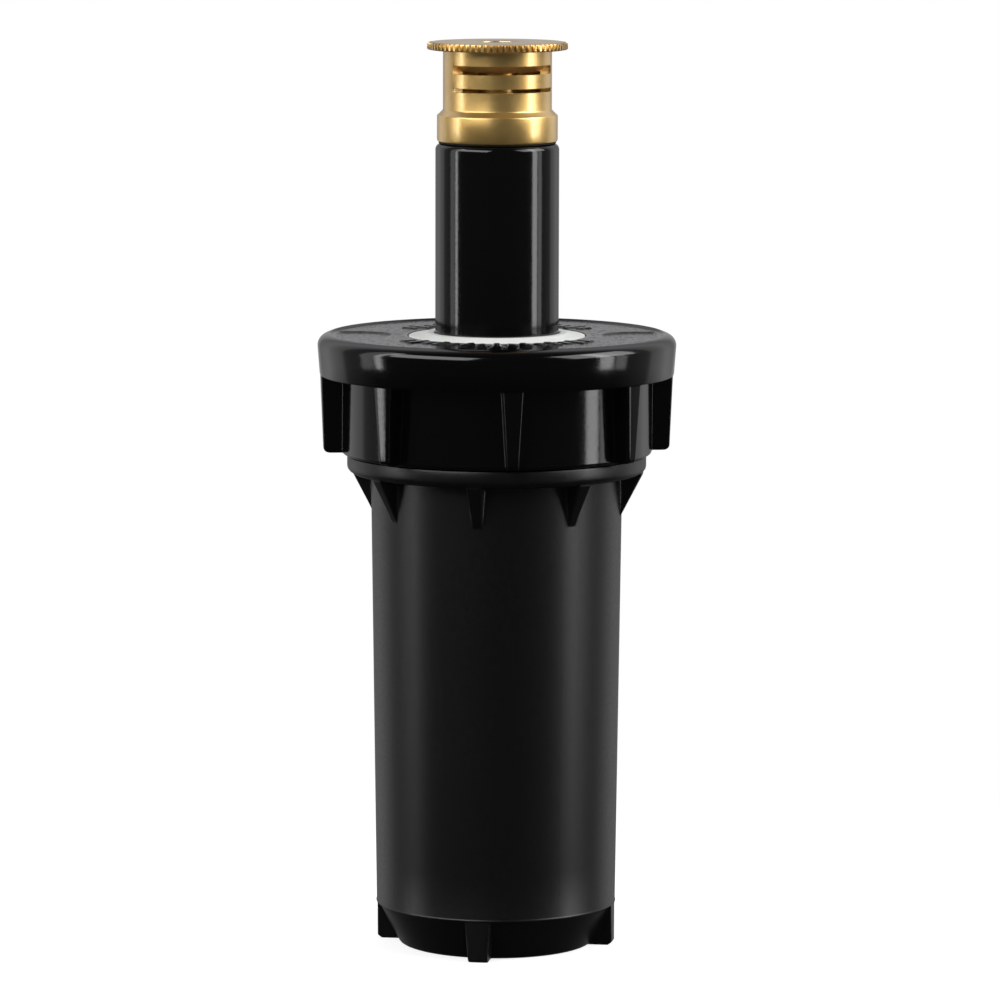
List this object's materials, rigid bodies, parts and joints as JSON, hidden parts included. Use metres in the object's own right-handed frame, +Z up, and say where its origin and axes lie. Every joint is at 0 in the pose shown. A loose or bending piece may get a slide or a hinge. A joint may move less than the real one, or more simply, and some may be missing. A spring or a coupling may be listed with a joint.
{
  "type": "pop up sprinkler",
  "caption": "Pop-up lawn spray head: tubular body with threaded inlet, ribbed screw cap, spring-return riser and slitted brass nozzle, shown with the riser up.",
  "frame": {"origin": "centre of the flat underside", "axes": "+Z up along the axis of body and riser; the side with the spray slits faces -Y"},
  "size_m": [0.0572, 0.0572, 0.1448],
  "materials": {
    "black_satin": "satin",
    "black_gloss": "gloss",
    "riser_gloss": "gloss",
    "white_acetal": "satin",
    "grey_acetal": "satin",
    "black_rubber": "matte",
    "steel": "satin",
    "brass": "satin"
  },
  "bodies": {
    "housing": {"body_case": "black_satin", "screw_cap": "black_gloss", "guide_ring": "white_acetal", "wiper_seal": "black_rubber", "seal_retainer": "grey_acetal", "cap_gasket": "black_rubber", "spring_washer": "steel", "retract_spring": "steel"},
    "ratchet": {"ratchet_ring": "grey_acetal"},
    "riser": {"riser_stem": "riser_gloss", "ratchet_hub": "black_satin", "filter_cage": "white_acetal", "filter_mesh": "steel", "nozzle_gasket": "black_rubber", "nozzle_body": "brass", "nozzle_head": "brass"},
    "screw": {"flow_screw": "steel", "screw_seal": "black_rubber"}
  },
  "joints": [
    {"name": "riser_slide", "type": "slide", "parent": "housing", "child": "ratchet", "axis": [0, 0, 1], "range_m": [-0.0445, 0], "deforming": ["retract_spring"]},
    {"name": "riser_turn", "type": "hinge", "parent": "ratchet", "child": "riser", "pos_m": [0, 0, 0.065], "axis": [0, 0, 1], "continuous": true},
    {"name": "flow_adjust", "type": "hinge", "parent": "riser", "child": "screw", "pos_m": [0, 0, 0.14], "axis": [0, 0, 1], "range_deg": [-720, 0]}
  ]
}
